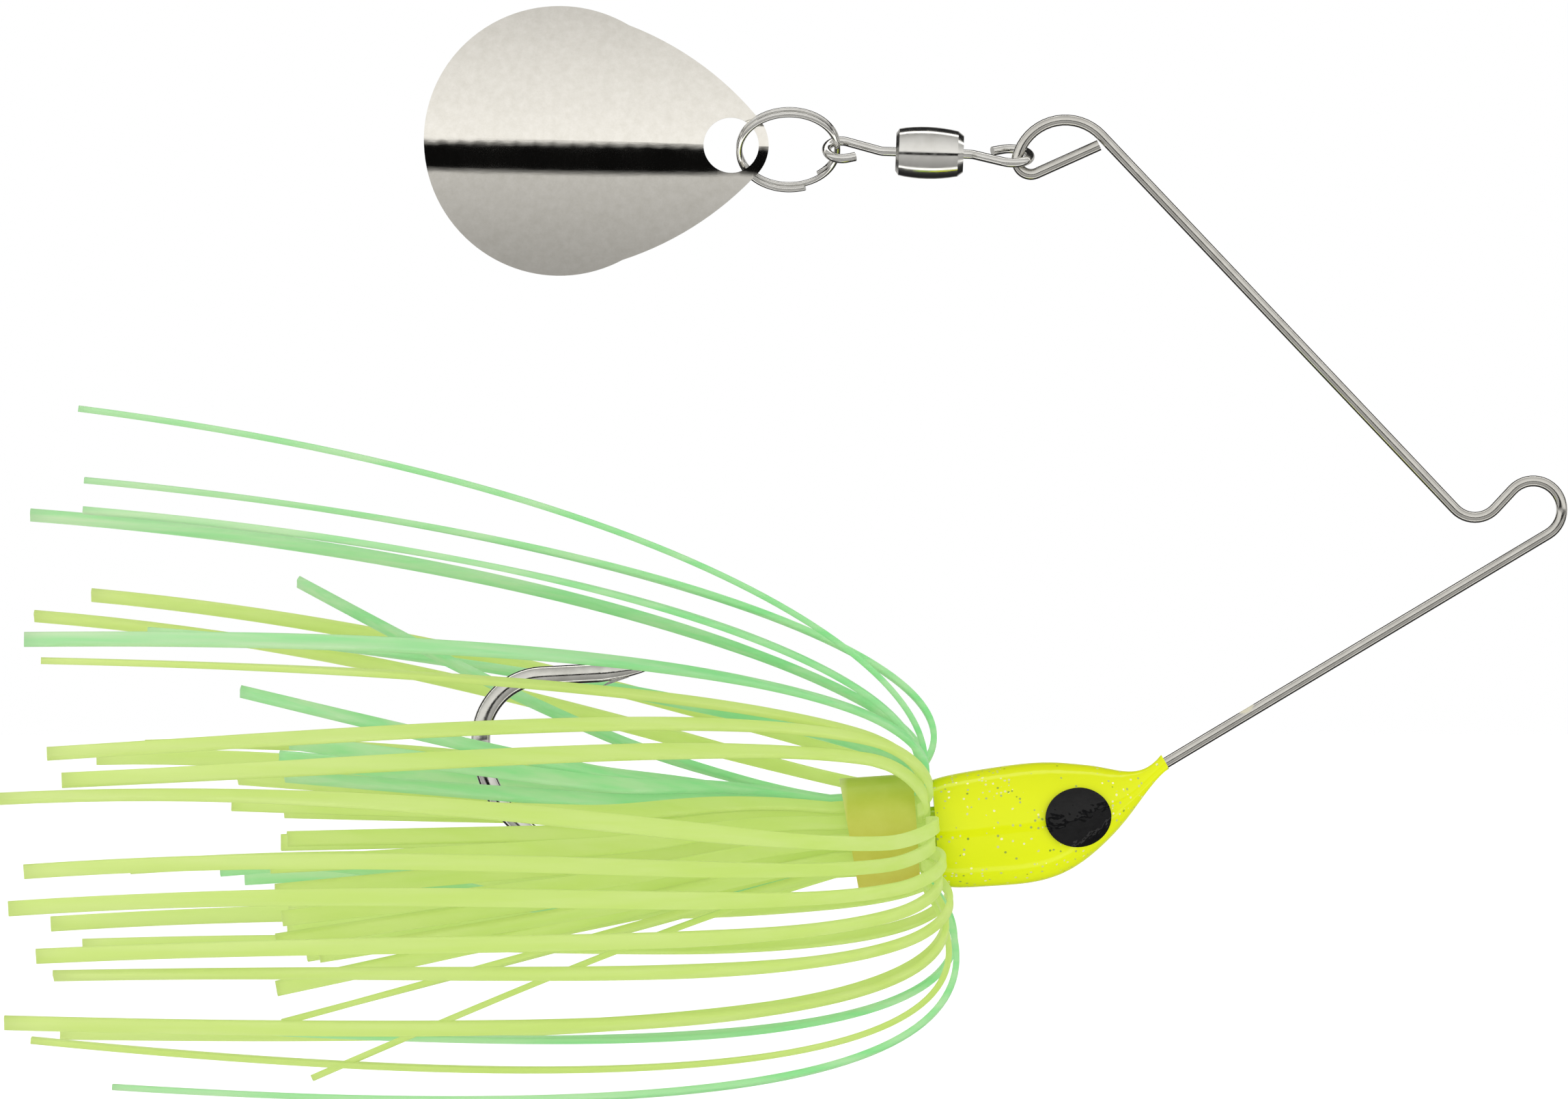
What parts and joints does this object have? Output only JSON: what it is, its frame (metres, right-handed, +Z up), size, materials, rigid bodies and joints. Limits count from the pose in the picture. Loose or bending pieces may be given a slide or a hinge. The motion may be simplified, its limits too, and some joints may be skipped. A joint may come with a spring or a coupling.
{
  "type": "spinnerbait fishing lure",
  "caption": "Wire-armed fishing lure: weighted head on a fixed hook below, a turning metal blade on a swivel above, and a soft tailed skirt held by a band.",
  "frame": {"origin": "centre of the small open bend of the line tie, where the line is tied, in the lure's middle plane", "axes": "+X forward along the pull of the line, away from the hook; +Y to the far side; +Z up, from the hook to the blade"},
  "size_m": [0.1273, 0.0311, 0.0891],
  "materials": {
    "wire": "drawn stainless spring wire, slightly dull",
    "hook": "tinned hook wire, bright",
    "head_paint": "glossy fluorescent yellow-green paint with fine glitter over cast metal",
    "eye": "glossy black enamel",
    "swivel": "nickel plate",
    "ring": "nickel plate",
    "blade": "nickel plate, finely brushed and slightly mottled",
    "band": "translucent olive silicone, satin",
    "strand_chartreuse": "milky translucent yellow-green silicone, satin",
    "strand_mint": "milky translucent mint green silicone, satin"
  },
  "bodies": {
    "bait": {"wire_frame": "wire", "hook": "hook", "lead_head": "head_paint", "eye_near": "eye", "eye_far": "eye"},
    "skirt": {"skirt_band": "band", "strand_01_mint": "strand_mint", "strand_02_mint": "strand_mint", "strand_03_mint": "strand_mint", "strand_04_chartreuse": "strand_chartreuse", "strand_05_chartreuse": "strand_chartreuse", "strand_06_chartreuse": "strand_chartreuse", "strand_07_chartreuse": "strand_chartreuse", "strand_08_chartreuse": "strand_chartreuse", "strand_09_chartreuse": "strand_chartreuse", "strand_10_chartreuse": "strand_chartreuse", "strand_11_chartreuse": "strand_chartreuse", "strand_12_chartreuse": "strand_chartreuse", "strand_13_mint": "strand_mint", "strand_14_chartreuse": "strand_chartreuse", "strand_15_mint": "strand_mint", "strand_16_chartreuse": "strand_chartreuse", "strand_17_chartreuse": "strand_chartreuse", "strand_18_chartreuse": "strand_chartreuse", "strand_19_chartreuse": "strand_chartreuse", "strand_20_chartreuse": "strand_chartreuse", "strand_21_chartreuse": "strand_chartreuse", "strand_22_chartreuse": "strand_chartreuse", "strand_23_chartreuse": "strand_chartreuse", "strand_24_mint": "strand_mint", "strand_25_mint": "strand_mint", "strand_26_mint": "strand_mint"},
    "front_eye": {"swivel_front_eye": "swivel"},
    "barrel": {"swivel_barrel": "swivel"},
    "rear_eye": {"swivel_rear_eye": "swivel"},
    "ring": {"split_ring": "ring"},
    "spinner": {"blade": "blade"}
  },
  "joints": [
    {"name": "skirt_slide", "type": "slide", "parent": "bait", "child": "skirt", "axis": [0.9976, 0, 0.0698], "range_m": [-0.006, 0]},
    {"name": "loop_hinge", "type": "hinge", "parent": "bait", "child": "front_eye", "pos_m": [-0.04205, 0, 0.02878], "axis": [0, 0, 1], "range_deg": [-90, 90]},
    {"name": "barrel_spin", "type": "hinge", "parent": "front_eye", "child": "barrel", "pos_m": [-0.04915, 0, 0.02903], "axis": [-0.9994, 0, 0.0349], "continuous": true},
    {"name": "rear_eye_spin", "type": "hinge", "parent": "barrel", "child": "rear_eye", "pos_m": [-0.04915, 0, 0.02903], "axis": [-0.9994, 0, 0.0349], "continuous": true},
    {"name": "ring_swing", "type": "hinge", "parent": "rear_eye", "child": "ring", "pos_m": [-0.05754, 0, 0.02932], "axis": [0, 0.7902, 0.6129], "range_deg": [-45, 60]},
    {"name": "blade_swing", "type": "hinge", "parent": "ring", "child": "spinner", "pos_m": [-0.06465, -0.00012, 0.02934], "axis": [0, -0.6947, 0.7193], "range_deg": [-75, 75]}
  ]
}
